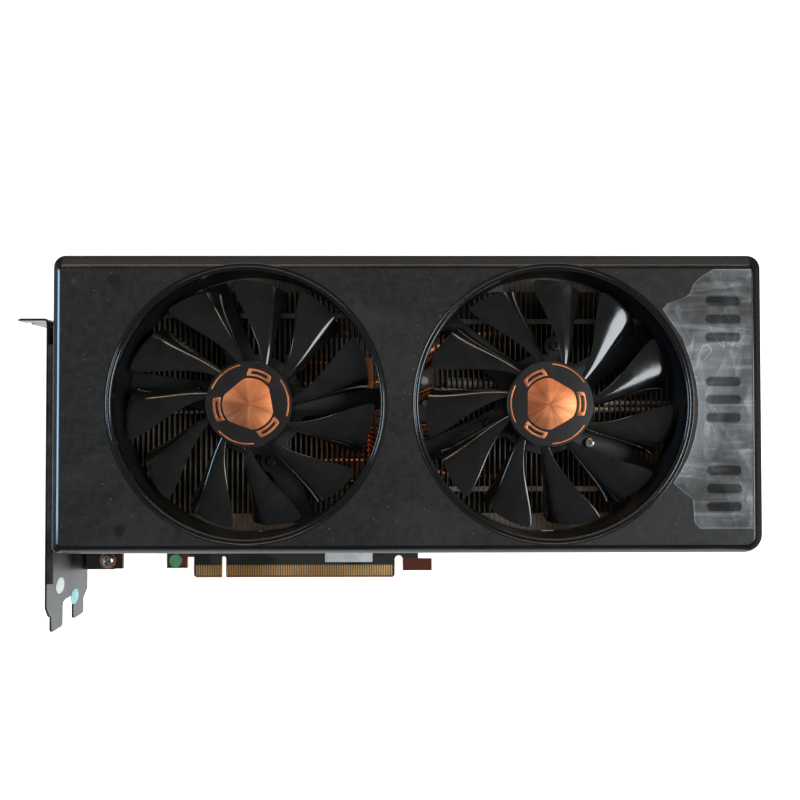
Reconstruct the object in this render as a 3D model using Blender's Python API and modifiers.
"""Dual-fan graphics card, lying on its backplate with the fans facing up.

Frame: +X along the card away from the metal bracket, +Y away from the edge
connector, +Z out of the fans. The dimensions below are in millimetres from the
card's datum: X from the bracket's inner face, Y from the edge connector's
bottom edge, Z from the backplate's outer face. An empty carries every part from
that datum to the world origin, under the middle of the card.
"""
import math

import bmesh
import bpy
from mathutils import Matrix, Vector

MM = 0.001

# ---- overall -----------------------------------------------------------------
DATUM_AT = (-127.5, -56.83, 0.0)      # the datum's place in the world

# ---- circuit board and edge connector ------------------------------------------
PCB_Z0, PCB_Z1 = 3.6, 5.17            # 1.57 mm laminate
PCB_RIGHT, PCB_TOP = 238.0, 119.5
EDGE_LEFT, EDGE_RIGHT = 46.45, 131.3  # x16 edge connector
KEY_X, KEY_WIDTH, KEY_DEPTH = 59.05, 1.9, 9.0

# ---- metal bracket, two slots ----------------------------------------------------
SHEET = 0.86
BRACKET_TOP, BRACKET_HEIGHT = 105.58, 120.02
BRACKET_Z0, BRACKET_WIDTH = 1.1, 38.74
SLOT_PITCH = 20.32
FLANGE_REACH = 12.3
PRONG_WIDTH, PRONG_OFFSET = 10.19, 4.11

# ---- shroud ------------------------------------------------------------------------
SHROUD_X0, SHROUD_X1 = 5.3, 267.3
SHROUD_Y0, SHROUD_Y1 = 17.8, 128.1
SHROUD_Z0, SHROUD_FACE = 24.0, 51.2
FACE_X0, FACE_X1, FACE_Y0, FACE_Y1 = 9.0, 263.0, 21.1, 122.6
WALL = 2.0
RIM_R, BORE_R, RIM_TOP = 51.6, 49.0, 51.7
DUCT_Z0 = 34.0

# ---- fans ----------------------------------------------------------------------------
FAN_X = {"left": 77.08, "right": 189.49}
FAN_Y = 72.85
FAN_PHASE = {"left": 0.0, "right": -1.0}
FRAME_TURN = {"left": 2.6, "right": 35.0}
ARM_ANGLES = (0.0, 105.0, 167.0, 291.0)  # the four arms of a fan frame
BADGE_ANGLE = {"left": 10.0, "right": 0.0}
BLADES, BLADE_R = 11, 46.9
HUB_R, HUB_Z0, HUB_TOP = 16.3, 35.2, 45.2
BLADE_LEAD_Z, BLADE_TRAIL_Z, BLADE_THICK = 44.3, 36.3, 1.0
SEAT_Z0, SEAT_Z1 = 31.6, 33.6
FAN_SCREW_R, FAN_SCREW_ANGLE = 23.0, -76.0

# ---- cooler ----------------------------------------------------------------------------
GPU_X, GPU_Y = 100.0, 66.0
FIN_STACKS = {"left": (28.5, 124.0), "right": (147.7, 243.5)}
FIN_Y0, FIN_Y1 = 23.7, 122.5
FIN_Z0, FIN_Z1 = 17.3, 30.8
FIN_PITCH, FIN_THICK = 2.06, 0.4
PIPE_R, PIPE_Z, PIPE_COUNT = 3.0, 14.0, 4

# ---- backplate ---------------------------------------------------------------------------
PLATE_THICK = 1.5
PLATE_SCREWS = ((48.0, 36.0), (48.0, 94.0), (216.0, 36.0), (216.0, 94.0))
CLAMP_REACH = 32.0


# ---- scene helpers ---------------------------------------------------------------------------
def clear_scene():
    for obj in list(bpy.data.objects):
        bpy.data.objects.remove(obj, do_unlink=True)


def collection(name):
    group = bpy.data.collections.get(name) or bpy.data.collections.new(name)
    if group.name not in bpy.context.scene.collection.children:
        bpy.context.scene.collection.children.link(group)
    return group


def material(name, colour, roughness, metallic=0.0):
    found = bpy.data.materials.get(name)
    if found:
        return found
    made = bpy.data.materials.new(name)
    made.use_nodes = True
    surface = made.node_tree.nodes["Principled BSDF"]
    surface.inputs["Base Color"].default_value = (*colour, 1.0)
    surface.inputs["Roughness"].default_value = roughness
    surface.inputs["Metallic"].default_value = metallic
    return made


def place(obj, look, at=(0, 0, 0), turn=(0, 0, 0), tool=False):
    """Put obj at a datum position in mm, as a part of the card or as a cutter."""
    group = TOOLS if tool else CARD
    for owner in list(obj.users_collection):
        owner.objects.unlink(obj)
    group.objects.link(obj)
    obj.parent = DATUM
    obj.location = Vector(at) * MM
    obj.rotation_euler = turn
    if tool:
        obj.hide_render = True
        obj.display_type = "WIRE"
    elif look:
        obj.data.materials.clear()
        obj.data.materials.append(material(*look))
    return obj


def from_bmesh(name, shape):
    mesh = bpy.data.meshes.new(name)
    shape.to_mesh(mesh)
    shape.free()
    return bpy.data.objects.new(name, mesh)


def box(name, low, high, look=None, tool=False):
    """An upright box between two corners, in mm from the datum."""
    low, high = Vector(low), Vector(high)
    shape = bmesh.new()
    bmesh.ops.create_cube(shape, size=1.0)
    bmesh.ops.scale(shape, vec=(high - low) * MM, verts=shape.verts)
    return place(from_bmesh(name, shape), look, (low + high) / 2, tool=tool)


def boxes(name, corners, tool=True):
    """Several separate boxes in one cutter."""
    shape = bmesh.new()
    for low, high in corners:
        low, high = Vector(low), Vector(high)
        made = bmesh.ops.create_cube(shape, size=1.0)["verts"]
        bmesh.ops.scale(shape, vec=(high - low) * MM, verts=made)
        bmesh.ops.translate(shape, vec=(low + high) / 2 * MM, verts=made)
    return place(from_bmesh(name, shape), None, tool=tool)


def drum(name, radius, z0, z1, at, look=None, sides=32, tool=False):
    """An upright cylinder at (x, y)."""
    shape = bmesh.new()
    bmesh.ops.create_cone(shape, cap_ends=True, segments=sides, radius1=radius * MM,
                          radius2=radius * MM, depth=(z1 - z0) * MM)
    return place(from_bmesh(name, shape), look, (at[0], at[1], (z0 + z1) / 2), tool=tool)


def drums(name, places, radius, z0, z1, sides=12):
    """Several separate upright cylinders in one cutter."""
    shape = bmesh.new()
    for x, y in places:
        made = bmesh.ops.create_cone(shape, cap_ends=True, segments=sides, radius1=radius * MM,
                                     radius2=radius * MM, depth=(z1 - z0) * MM)["verts"]
        bmesh.ops.translate(shape, vec=Vector((x, y, (z0 + z1) / 2)) * MM, verts=made)
    return place(from_bmesh(name, shape), None, tool=True)


def turned(name, profile, at, look=None, sides=48, tool=False):
    """Screw a profile of (radius, z) points, outer side downwards, about its axis."""
    shape = bmesh.new()
    points = [shape.verts.new((r * MM, 0, z * MM)) for r, z in profile]
    for a, b in zip(points, points[1:]):
        shape.edges.new((a, b))
    if profile[0][0] > 0:
        shape.edges.new((points[-1], points[0]))
    obj = place(from_bmesh(name, shape), look, (at[0], at[1], 0), tool=tool)
    screw = obj.modifiers.new("turn", "SCREW")
    screw.angle = math.tau
    screw.steps = screw.render_steps = sides
    screw.axis = "Z"
    screw.use_merge_vertices = True
    screw.merge_threshold = 0.00002
    return obj


def flat(name, loops, thickness, look=None, at=(0, 0, 0), turn=(0, 0, 0), tool=False, holes=()):
    """Fill flat outlines that lie side by side, thicken them upwards and cut any holes."""
    curve = bpy.data.curves.new(name, "CURVE")
    curve.dimensions = "2D"
    curve.fill_mode = "BOTH"
    curve.extrude = thickness / 2 * MM
    for loop in loops:
        spline = curve.splines.new("POLY")
        spline.points.add(len(loop) - 1)
        for point, (x, y) in zip(spline.points, loop):
            point.co = (x * MM, y * MM, 0, 1)
        spline.use_cyclic_u = True
    temporary = bpy.data.objects.new(name + "_curve", curve)
    bpy.context.scene.collection.objects.link(temporary)
    mesh = meshed(temporary)
    for vertex in mesh.vertices:
        vertex.co.z += thickness / 2 * MM
    made = place(bpy.data.objects.new(name, mesh), look, at, turn, tool)
    if holes:
        cutter = flat(name + "_cutouts", holes, thickness + 2.0, None, at, turn, True)
        for vertex in cutter.data.vertices:
            vertex.co.z -= 1.0 * MM
        cut(made, cutter)
    return made


def meshed(curve_object):
    """The curve object's shape as a welded mesh; the curve object is removed."""
    bpy.context.view_layer.update()
    graph = bpy.context.evaluated_depsgraph_get()
    curve_is_flat = curve_object.data.dimensions == "2D"
    mesh = bpy.data.meshes.new_from_object(curve_object.evaluated_get(graph))
    shape = bmesh.new()
    shape.from_mesh(mesh)
    bmesh.ops.remove_doubles(shape, verts=shape.verts, dist=0.000002)
    bmesh.ops.recalc_face_normals(shape, faces=shape.faces)
    if curve_is_flat:
        whole_caps(shape)
    shape.to_mesh(mesh)
    shape.free()
    bpy.data.objects.remove(curve_object, do_unlink=True)
    return mesh


def whole_caps(shape):
    """Join each filled cap of an extruded flat outline into a single face."""
    for side in (1, -1):
        caps = [f for f in shape.faces if all(v.co.z * side > 0 for v in f.verts)]
        if len(caps) > 1:
            bmesh.ops.dissolve_faces(shape, faces=caps)


def tube(name, points, radius, look):
    """A round bar along a smooth run of points."""
    curve = bpy.data.curves.new(name, "CURVE")
    curve.dimensions = "3D"
    curve.bevel_depth = radius * MM
    curve.bevel_resolution = 2
    curve.resolution_u = 1
    curve.use_fill_caps = True
    spline = curve.splines.new("POLY")
    spline.points.add(len(points) - 1)
    for point, co in zip(spline.points, points):
        point.co = (*(Vector(co) * MM), 1)
    temporary = bpy.data.objects.new(name + "_curve", curve)
    bpy.context.scene.collection.objects.link(temporary)
    return place(bpy.data.objects.new(name, meshed(temporary)), look)


def loft(name, rings, look=None, tool=False):
    """Join rings of equal point count, lowest first, and cap both ends."""
    shape = bmesh.new()
    rows = [[shape.verts.new(Vector((x, y, z)) * MM) for x, y in ring] for z, ring in rings]
    count = len(rows[0])
    for low, high in zip(rows, rows[1:]):
        for i in range(count):
            j = (i + 1) % count
            shape.faces.new((low[i], low[j], high[j], high[i]))
    shape.faces.new(list(reversed(rows[0])))
    shape.faces.new(rows[-1])
    return place(from_bmesh(name, shape), look, tool=tool)


def boolean(target, tool, operation):
    change = target.modifiers.new(tool.name, "BOOLEAN")
    change.operation = operation
    change.solver = "EXACT"
    change.object = tool
    return target


def cut(target, tool):
    return boolean(target, tool, "DIFFERENCE")


def fuse(target, tool):
    return boolean(target, tool, "UNION")


def soften(obj, width, segments=1):
    bevel = obj.modifiers.new("soft edges", "BEVEL")
    bevel.width = width * MM
    bevel.segments = segments
    bevel.limit_method = "ANGLE"
    bevel.angle_limit = math.radians(40)
    return obj


# ---- outline helpers ---------------------------------------------------------------------------
def arc(cx, cy, radius, start, end, steps):
    """Points on an arc, angles in degrees."""
    return [(cx + radius * math.cos(math.radians(start + (end - start) * i / steps)),
             cy + radius * math.sin(math.radians(start + (end - start) * i / steps)))
            for i in range(steps + 1)]


def rounded(x0, y0, x1, y1, radii, steps=5):
    """Rectangle outline; radii are lower-left, lower-right, upper-right, upper-left."""
    a, b, c, d = radii
    return (arc(x0 + a, y0 + a, a, 180, 270, steps) + arc(x1 - b, y0 + b, b, 270, 360, steps)
            + arc(x1 - c, y1 - c, c, 0, 90, steps) + arc(x0 + d, y1 - d, d, 90, 180, steps))


def spun(points, angle, cx=0.0, cy=0.0):
    c, s = math.cos(math.radians(angle)), math.sin(math.radians(angle))
    return [(cx + x * c - y * s, cy + x * s + y * c) for x, y in points]


# ---- finishes (name, linear colour, roughness, metallic) ------------------------------------------
BLACK_PLASTIC = ("black_plastic", (0.028, 0.029, 0.029), 0.45)
FAN_PLASTIC = ("fan_plastic", (0.012, 0.012, 0.014), 0.22)
COPPER = ("copper", (0.72, 0.36, 0.21), 0.3, 1.0)
FIN_METAL = ("fin_metal", (0.55, 0.52, 0.48), 0.4, 1.0)
STEEL = ("zinc_steel", (0.55, 0.55, 0.56), 0.35, 1.0)
SCREW_STEEL = ("screw_steel", (0.6, 0.6, 0.62), 0.28, 1.0)
BOARD = ("black_solder_mask", (0.012, 0.012, 0.012), 0.35)
PLATE_METAL = ("backplate_metal", (0.02, 0.02, 0.021), 0.4, 0.6)
CHIP = ("chip_resin", (0.02, 0.02, 0.02), 0.55)
SILICON = ("silicon", (0.22, 0.23, 0.26), 0.15, 0.6)
NICKEL = ("nickel", (0.62, 0.6, 0.57), 0.3, 1.0)
MAGNET = ("ferrite", (0.05, 0.05, 0.055), 0.6)
WINDING = ("winding", (0.45, 0.2, 0.1), 0.4, 0.8)
BRASS = ("bearing_bronze", (0.6, 0.42, 0.2), 0.35, 1.0)
FILM = ("protective_film", (0.36, 0.38, 0.4), 0.25)
CONNECTOR = ("connector_plastic", (0.015, 0.015, 0.015), 0.5)


# ---- shroud and film ----------------------------------------------------------------------------
def shroud_ring(inset, face):
    """Outline of the shroud at its full size, or of its front face, moved in by inset."""
    if face:
        low, high, radii = (FACE_X0, FACE_Y0), (FACE_X1, FACE_Y1), (1.2, 3.4, 1.6, 1.2)
    else:
        low, high, radii = (SHROUD_X0, SHROUD_Y0), (SHROUD_X1, SHROUD_Y1), (3.0, 7.0, 5.0, 3.0)
    radii = [max(r - inset, 0.4) for r in radii]
    return rounded(low[0] + inset, low[1] + inset, high[0] - inset, high[1] - inset, radii)


def make_shroud():
    """Open-backed moulding with two ducted fan bores and air windows in its long sides."""
    shroud = loft("shroud", [(SHROUD_Z0, shroud_ring(0, False)), (48.0, shroud_ring(0, False)),
                             (SHROUD_FACE, shroud_ring(0, True))], BLACK_PLASTIC)
    hollow = loft("shroud_hollow", [(SHROUD_Z0 - 2, shroud_ring(WALL, False)),
                                    (47.0, shroud_ring(WALL, False)),
                                    (SHROUD_FACE - WALL, shroud_ring(WALL - 0.6, True))], tool=True)
    cut(shroud, hollow)
    centres = [(FAN_X[side], FAN_Y) for side in FAN_X]
    fuse(shroud, drums("duct_outsides", centres, RIM_R, DUCT_Z0, RIM_TOP, 60))
    cut(shroud, drums("duct_bores", centres, BORE_R, SHROUD_Z0, SHROUD_FACE + 8, 60))
    cut(shroud, boxes("air_windows", [((40.0, 0.0, 20.0), (236.0, 140.0, 33.0))]))
    marks = [((245.5, y, SHROUD_FACE - 0.5), (258.0, y + 3.4, SHROUD_FACE + 3))
             for y in (33.5, 40.1, 46.7, 66.0, 72.6, 79.2, 95.5, 102.1, 108.7)]
    cut(shroud, boxes("end_grooves", marks))
    return shroud


def make_film():
    """Thin cling film left on the plain end of the face, standing proud in the middle."""
    columns, rows = 6, 12
    x0, x1, y0, y1 = 244.0, 262.0, 27.0, 122.0
    shape = bmesh.new()
    bmesh.ops.create_grid(shape, x_segments=columns, y_segments=rows, size=0.5)
    for vertex in shape.verts:
        u, v = vertex.co.x + 0.5, vertex.co.y + 0.5
        bulge = math.sin(math.pi * u) * (0.55 + 0.45 * math.sin(3 * math.pi * v) ** 2)
        left = x0 - 1.6 * math.sin(2 * math.pi * v) ** 2
        vertex.co = Vector((left + (x1 - left) * u, y0 + (y1 - y0) * v,
                            SHROUD_FACE + 0.5 + 1.0 * bulge)) * MM
    film = place(from_bmesh("protective_film", shape), FILM)
    skin = film.modifiers.new("thickness", "SOLIDIFY")
    skin.thickness = 0.2 * MM
    skin.offset = -1.0
    return film


# ---- fans -------------------------------------------------------------------------------------------
def blade_surface(shape, angle, spans=5, chords=2):
    """One swept, twisted blade: an open sheet from inside the hub wall to the tip."""
    made = bmesh.ops.create_grid(shape, x_segments=spans, y_segments=chords, size=0.5)["verts"]
    for vertex in made:
        u, v = vertex.co.x + 0.5, vertex.co.y + 0.5
        lead = 73.2 + 25.3 * (1 - (1 - u) ** 1.65)
        trail = 64.1 + 9.2 * (1 - (1 - u) ** 2.1)
        reach = BLADE_R - 5.6 * (1 - v) ** 1.6
        radius = 15.5 + (reach - 15.5) * u
        theta = math.radians(angle + trail + (lead - trail) * v)
        rise = BLADE_TRAIL_Z + (BLADE_LEAD_Z - BLADE_TRAIL_Z) * v ** 0.8
        vertex.co = Vector((radius * math.cos(theta), radius * math.sin(theta), rise)) * MM


def make_impeller(side):
    """Hub cup with its shaft boss, and eleven blades joined to the cup's wall."""
    at = (FAN_X[side], FAN_Y)
    cup = [(0, HUB_TOP), (HUB_R - 1.0, HUB_TOP), (HUB_R, HUB_TOP - 1.0), (HUB_R, HUB_Z0),
           (14.9, HUB_Z0), (14.9, 43.6), (4.0, 43.6), (4.0, 40.5), (1.8, 40.5), (1.8, 43.7),
           (0, 43.7)]
    hub = turned(side + "_impeller", cup, at, FAN_PLASTIC, 30)
    shape = bmesh.new()
    for i in range(BLADES):
        blade_surface(shape, FAN_PHASE[side] + 360.0 / BLADES * i)
    blades = place(from_bmesh(side + "_blades", shape), None, (at[0], at[1], 0), tool=True)
    skin = blades.modifiers.new("thickness", "SOLIDIFY")
    skin.thickness = BLADE_THICK * MM
    skin.offset = -1.0
    return fuse(hub, blades)


def badge_outline(radius, flat_at, angle):
    """A disc with three flats, whose flats face angle and every third of a turn on."""
    half = math.degrees(math.acos(flat_at / radius))
    points = []
    for i in range(3):
        centre = angle + 120 * i + 60
        points += arc(0, 0, radius, centre - 60 + half, centre + 60 - half, 6)
    return points


def make_badge(side):
    """Thin hub cover: a disc that carries a raised copper plate with three flats."""
    at = (FAN_X[side], FAN_Y, HUB_TOP + 0.3)
    badge = turned(side + "_hub_badge", [(0, 0.4), (15.0, 0.4), (15.0, 0.0), (0, 0.0)],
                   at[:2], COPPER, 36)
    badge.location.z = at[2] * MM
    plate = flat(side + "_badge_plate", [badge_outline(9.8, 8.6, BADGE_ANGLE[side])], 0.5, None,
                 (at[0], at[1], at[2] + 0.2), tool=True)
    return fuse(badge, plate)


def make_fan_frame(side):
    """Motor seat with a bearing tube, four tapered arms and three screw pillars."""
    turn = FRAME_TURN[side]
    at = (FAN_X[side], FAN_Y, 0)
    root, tip, seat = 6.0, 4.3, 19.5
    start = math.sqrt(seat ** 2 - root ** 2)
    bend = math.degrees(math.asin(root / seat))
    arm = [(start, -root), (27.0, -5.2), (50.0, -tip), (50.0, tip), (27.0, 5.2), (start, root)]
    outline = []
    for angle, following in zip(ARM_ANGLES, ARM_ANGLES[1:] + (360.0,)):
        outline += spun(arm, turn + angle)
        outline += arc(0, 0, seat, turn + angle + bend, turn + following - bend, 6)[1:-1]
    frame = flat(side + "_fan_frame", [outline], SEAT_Z1 - SEAT_Z0, BLACK_PLASTIC,
                 (at[0], at[1], SEAT_Z0))
    sleeve = [(4.4, 40.2), (4.4, 32.6), (3.3, 32.6), (3.3, 40.2)]
    fuse(frame, turned(side + "_bearing_tube", sleeve, at, None, 24, tool=True))
    places = fan_screw_places(side)
    fuse(frame, drums(side + "_ears", places, 4.4, SEAT_Z0 + 0.2, SEAT_Z1 - 0.2, 16))
    fuse(frame, drums(side + "_pillars", places, 2.6, FIN_Z0 + 1.3, SEAT_Z1 - 0.5, 10))
    cut(frame, drums(side + "_pillar_holes", places, 1.4, 22.0, 40.0, 10))
    return frame


def fan_screw_places(side):
    turns = [math.radians(FRAME_TURN[side] + FAN_SCREW_ANGLE + 120 * i) for i in range(3)]
    return [(FAN_X[side] + FAN_SCREW_R * math.cos(t), FAN_Y + FAN_SCREW_R * math.sin(t)) for t in turns]


def make_screw(name, at, head_r, head_z, head_h, shank_r, shank_end, look=SCREW_STEEL):
    """A screw whose head rests at head_z and points up, or down if head_h is negative."""
    top, down = head_z + head_h, head_h < 0
    if down:
        profile = [(0, shank_end), (shank_r, shank_end), (shank_r, head_z), (head_r, head_z),
                   (head_r, top), (0, top)]
    else:
        profile = [(0, top), (head_r, top), (head_r, head_z), (shank_r, head_z),
                   (shank_r, shank_end), (0, shank_end)]
    return turned(name, profile, at, look, 10)


def make_motor(side):
    """Everything inside the hub: bearing, stator, magnet ring and shaft."""
    at = (FAN_X[side], FAN_Y)
    turned(side + "_bearing", [(3.0, 40.2), (3.0, 33.9), (1.8, 33.9), (1.8, 40.2)], at, BRASS, 16)
    turned(side + "_stator", [(12.0, 42.4), (12.0, 34.6), (4.7, 34.6), (4.7, 42.4)], at, WINDING, 24)
    turned(side + "_magnet_ring", [(14.6, 43.2), (14.6, 35.6), (12.6, 35.6), (12.6, 43.2)], at,
           MAGNET, 32)
    drum(side + "_shaft", 1.5, 34.2, 43.4, at, SCREW_STEEL, 12)


# ---- cooler --------------------------------------------------------------------------------------------
def make_fin_stack(side):
    """Upright fins on a thin base, with wells for the fan's three screw pillars."""
    x0, x1 = FIN_STACKS[side]
    count = int((x1 - x0 - FIN_THICK) / FIN_PITCH) + 1
    top, floor = FIN_Z1, FIN_Z0 + 1.0
    outline = [(x0, FIN_Z0), (x0 + (count - 1) * FIN_PITCH + FIN_THICK, FIN_Z0)]
    for i in reversed(range(count)):
        left = x0 + i * FIN_PITCH
        outline += [(left + FIN_THICK, top), (left, top)]
        if i:
            outline += [(left, floor), (left - FIN_PITCH + FIN_THICK, floor)]
    stack = flat(side + "_fin_stack", [outline], FIN_Y1 - FIN_Y0, FIN_METAL,
                 (0, FIN_Y1, 0), (math.pi / 2, 0, 0))
    wells = [((x - 3.4, y - 3.4, floor), (x + 3.4, y + 3.4, top + 5))
             for x, y in fan_screw_places(side)]
    return cut(stack, boxes(side + "_fin_wells", wells))


def make_heat_pipe(index):
    """One copper pipe over the cold plate, spreading out towards the far fin stack."""
    near = GPU_Y + (index - (PIPE_COUNT - 1) / 2) * 9.0
    far = FAN_Y + (index - (PIPE_COUNT - 1) / 2) * 18.0
    points = [(34.0, near, PIPE_Z), (80.0, near, PIPE_Z)]
    for i in range(13):
        t = i / 12
        blend = t * t * (3 - 2 * t)
        points.append((120.0 + 44.0 * t, near + (far - near) * blend, PIPE_Z))
    points.append((238.0, far, PIPE_Z))
    return tube("heat_pipe_%d" % (index + 1), points, PIPE_R, COPPER)


def make_cooler():
    """Memory plate with a window for the copper cold plate, fins and heat pipes."""
    window = rounded(GPU_X - 26.5, GPU_Y - 26.5, GPU_X + 26.5, GPU_Y + 26.5, (2, 2, 2, 2), 2)
    frame_plate = flat("memory_plate", [rounded(42.0, 28.0, 222.0, 101.0, (3, 3, 3, 3), 2)],
                       2.5, NICKEL, (0, 0, 7.1), holes=[window])
    cut(frame_plate, drums("memory_plate_holes", clamp_places() + list(PLATE_SCREWS), 1.9, 5.0, 12.0))
    soften(box("cold_plate", (GPU_X - 25, GPU_Y - 25, 7.75), (GPU_X + 25, GPU_Y + 25, 10.7), COPPER), 0.5)
    for side in FIN_STACKS:
        make_fin_stack(side)
    for index in range(PIPE_COUNT):
        make_heat_pipe(index)


def clamp_places():
    return [(GPU_X + sx * CLAMP_REACH, GPU_Y + sy * CLAMP_REACH) for sx in (-1, 1) for sy in (-1, 1)]


def make_clamp():
    """Cross-shaped spring plate behind the board, and its four screws."""
    reach, width = 45.25, 5.5
    outline = []
    for i in range(4):
        start = width / math.sin(math.radians(45))
        outline += spun([(start, 0)], 90 * i)
        outline += spun([(width, -width), (reach, -width)], 90 * i + 45)[1:]
        outline += spun(arc(reach, 0, width, -90, 90, 5)[1:], 90 * i + 45)
    places = clamp_places()
    clamp = flat("cooler_clamp", [[(GPU_X + x, GPU_Y + y) for x, y in outline]], 1.1, STEEL, (0, 0, 2.2))
    cut(clamp, drums("clamp_holes", places, 1.9, 0.0, 6.0))
    for i, at in enumerate(places):
        make_screw("clamp_screw_%d" % (i + 1), at, 2.8, 1.9, -1.4, 1.5, 9.3)


# ---- board -------------------------------------------------------------------------------------------------
def board_outline():
    key = KEY_WIDTH / 2
    return ([(1.0, 5.0), (2.0, 3.9), (16.36, 3.9), (16.36, 13.0), (35.0, 13.0), (35.0, 4.1),
             (43.5, 4.1), (43.5, 8.75), (EDGE_LEFT, 8.75), (EDGE_LEFT, 0.8), (EDGE_LEFT + 0.8, 0.0),
             (KEY_X - key, 0.0)]
            + arc(KEY_X, KEY_DEPTH - key, key, 180, 0, 6)
            + [(KEY_X + key, 0.0), (EDGE_RIGHT - 0.8, 0.0), (EDGE_RIGHT, 0.8)]
            + arc(EDGE_RIGHT + 1.7, 7.6, 1.7, 180, 0, 6)
            + [(134.7, 2.9), (147.0, 2.9), (147.0, 7.8), (141.2, 7.8), (141.2, 13.0),
               (PCB_RIGHT, 13.0), (PCB_RIGHT, PCB_TOP), (8.0, PCB_TOP), (8.0, 106.5), (1.0, 106.5)])


def make_board():
    board = flat("circuit_board", [board_outline()], PCB_Z1 - PCB_Z0, BOARD, (0, 0, PCB_Z0))
    cut(board, drums("board_holes", clamp_places() + list(PLATE_SCREWS), 1.9, 0.0, 12.0))
    cut(board, drums("foot_hole", [(10.06, 7.4)], 1.8, 0.0, 12.0))
    soften(box("gpu_package", (GPU_X - 20, GPU_Y - 20, 5.3), (GPU_X + 20, GPU_Y + 20, 6.8), BOARD), 0.2)
    box("gpu_die", (GPU_X - 13, GPU_Y - 10, 6.9), (GPU_X + 13, GPU_Y + 10, 7.65), SILICON)
    spots = [(-34, -15), (-34, 0), (-34, 15), (34, -15), (34, 0), (34, 15)]
    for i, (dx, dy) in enumerate(spots):
        x, y = GPU_X + dx, GPU_Y + dy
        box("memory_chip_%d" % (i + 1), (x - 7, y - 6, 5.3), (x + 7, y + 6, 6.5), CHIP)


def make_power_socket(name, x0, columns):
    """Right-angle socket with two rows of pin pockets facing +Y."""
    pitch = 4.2
    width = columns * pitch + 2.4
    socket = box(name, (x0, 104.0, 5.4), (x0 + width, 124.0, 16.4), CONNECTOR)
    pockets = []
    for column in range(columns):
        for row in range(2):
            x = x0 + 1.2 + pitch * (column + 0.5)
            z = 5.4 + 1.3 + pitch * (row + 0.5)
            pockets.append(((x - 1.7, 113.0, z - 1.7), (x + 1.7, 126.0, z + 1.7)))
    return cut(socket, boxes(name + "_pockets", pockets))


def make_mode_switch():
    """Slide switch at the board's top edge, its knob pointing out of the card's top."""
    body = box("bios_switch_body", (56.0, 114.0, 5.4), (64.0, 119.3, 8.8), CONNECTOR)
    cut(body, boxes("switch_slot", [((57.0, 115.7, 6.2), (63.0, 121.0, 8.0))]))
    knob = box("bios_switch_knob", (57.8, 116.1, 6.5), (60.0, 121.6, 7.7), STEEL)
    return soften(knob, 0.15)


# ---- bracket and sockets -------------------------------------------------------------------------------------
PORTS = {"displayport_1": (92.0, 16.9, 5.6), "displayport_2": (70.0, 16.9, 5.6),
         "displayport_3": (48.0, 16.9, 5.6), "hdmi_port": (26.0, 15.2, 5.8)}
PORT_Z0 = 5.45


def make_bracket():
    """Two-slot rear bracket: plate with prongs, bent top flange, stiffening lip and foot."""
    z0, z1 = BRACKET_Z0, BRACKET_Z0 + BRACKET_WIDTH
    tip, foot = BRACKET_TOP - BRACKET_HEIGHT, -4.6
    outline = [(BRACKET_TOP, z0), (BRACKET_TOP, z1), (-4.2, z1), (-8.0, z1 - 2.6)]
    for slot in (1, 0):
        low = z0 + SLOT_PITCH * slot + PRONG_OFFSET
        high = low + PRONG_WIDTH
        inner = [(-8.0, high)] if slot else [(foot, high)]
        outer = [(foot, low)] if slot else [(-8.2, low)]
        outline += inner + [(tip + 1.2, high), (tip, high - 1.2), (tip, low + 1.2),
                            (tip + 1.2, low)] + outer
    outline += [(-5.2, z0)]
    turn = (math.pi / 2, 0, math.pi / 2)
    holes = []
    for y, width, height in PORTS.values():
        holes.append(rounded(y - width / 2 - 0.3, PORT_Z0 - 0.3, y + width / 2 + 0.3,
                             PORT_Z0 + height + 0.3, (0.4,) * 4, 1))
    for i in range(1, 13):
        y = 14.0 + 6.4 * i
        holes.append(rounded(y - 1.8, 22.5, y + 1.8, 36.5, (1.2,) * 4, 1))
    bracket = flat("io_bracket", [outline], SHEET, STEEL, (-SHEET, 0, 0), turn, holes=holes)
    fuse(bracket, box("bracket_flange", (-FLANGE_REACH, BRACKET_TOP - SHEET, z0),
                      (-0.2, BRACKET_TOP, z1), tool=True))
    fuse(bracket, box("bracket_lip", (-0.4, 5.0, z1 - SHEET), (2.3, 95.7, z1), tool=True))
    fuse(bracket, box("bracket_foot", (-0.4, 3.2, 2.4), (14.5, 11.2, 3.26), tool=True))
    cut(bracket, drums("foot_thread", [(10.06, 7.4)], 1.7, 0.0, 6.0))
    notches = []
    for slot in (0, 1):
        z = z0 + SLOT_PITCH * slot + 9.2
        notches.append(((-FLANGE_REACH - 2, 100.0, z - 2.21), (-6.0, 110.0, z + 2.21)))
    cut(bracket, boxes("flange_notches", notches))
    make_screw("bracket_screw", (10.06, 7.4), 2.7, 5.45, 1.6, 1.4, 2.0)
    return bracket


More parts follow.
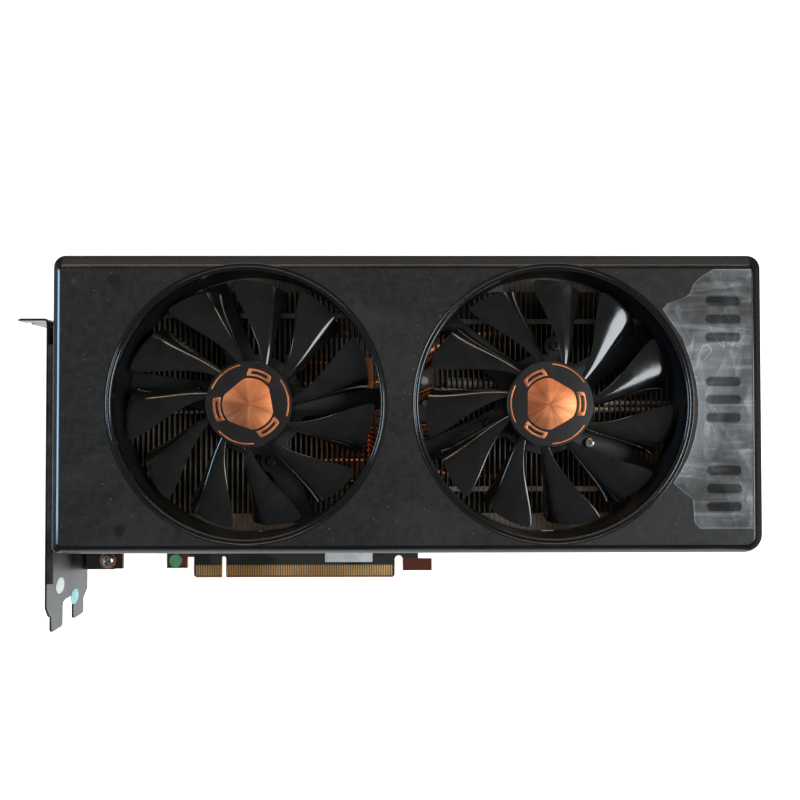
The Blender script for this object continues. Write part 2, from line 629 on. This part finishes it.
def make_port(name):
    """Metal socket shell with a contact tongue standing on its back wall."""
    y, width, height = PORTS[name]
    low, high = (-1.0, y - width / 2, PORT_Z0), (17.0, y + width / 2, PORT_Z0 + height)
    shell = box(name, low, high, NICKEL)
    pocket = boxes(name + "_pocket", [((-3.0, low[1] + 0.4, low[2] + 0.4),
                                       (15.5, high[1] - 0.4, high[2] - 0.4))])
    cut(shell, pocket)
    middle = PORT_Z0 + height / 2
    tongue = boxes(name + "_tongue", [((2.0, low[1] + 2.2, middle - 0.6),
                                       (16.2, high[1] - 2.2, middle + 0.6))])
    return fuse(shell, tongue)


# ---- backplate -----------------------------------------------------------------------------------------------
def make_backplate():
    """Flat metal plate with stand-off bosses, sunk screw seats and end slots."""
    outline = rounded(4.0, 18.5, 264.0, 126.5, (3.0, 6.0, 5.0, 3.0), 3)
    slots = [rounded(244.0 + 3.4 * i, 40.0, 245.8 + 3.4 * i, 104.0, (0.8,) * 4, 1) for i in range(5)]
    plate = flat("backplate", [outline], PLATE_THICK, PLATE_METAL, holes=slots)
    fuse(plate, drums("plate_bosses", PLATE_SCREWS, 4.2, PLATE_THICK - 0.5, 3.3))
    cut(plate, drums("plate_seats", PLATE_SCREWS, 3.0, -2.0, 1.4))
    cut(plate, drums("plate_holes", PLATE_SCREWS, 1.7, -2.0, 6.0))
    cut(plate, drums("clamp_clearance", clamp_places(), 3.5, -2.0, 6.0))
    for i, at in enumerate(PLATE_SCREWS):
        make_screw("backplate_screw_%d" % (i + 1), at, 2.5, 1.1, -0.9, 1.3, 9.2)
    return plate


def main():
    make_backplate()
    make_board()
    make_clamp()
    make_cooler()
    make_bracket()
    for name in PORTS:
        make_port(name)
    make_power_socket("power_socket_8pin", 186.0, 4)
    make_power_socket("power_socket_6pin", 208.0, 3)
    make_mode_switch()
    for side in FAN_X:
        make_fan_frame(side)
        make_motor(side)
        make_impeller(side)
        make_badge(side)
        for i, at in enumerate(fan_screw_places(side)):
            make_screw("%s_fan_screw_%d" % (side, i + 1), at, 1.9, 33.9, 0.9, 1.05, 25.0)
    make_shroud()
    make_film()
    for obj in CARD.objects:
        if obj.type == "MESH":
            obj.data.shade_smooth()
            obj.data.set_sharp_from_angle(angle=math.radians(35))


clear_scene()
CARD = collection("graphics_card")
TOOLS = collection("cutters")
DATUM = bpy.data.objects.new("card_datum", None)
CARD.objects.link(DATUM)
DATUM.location = Vector(DATUM_AT) * MM
main()
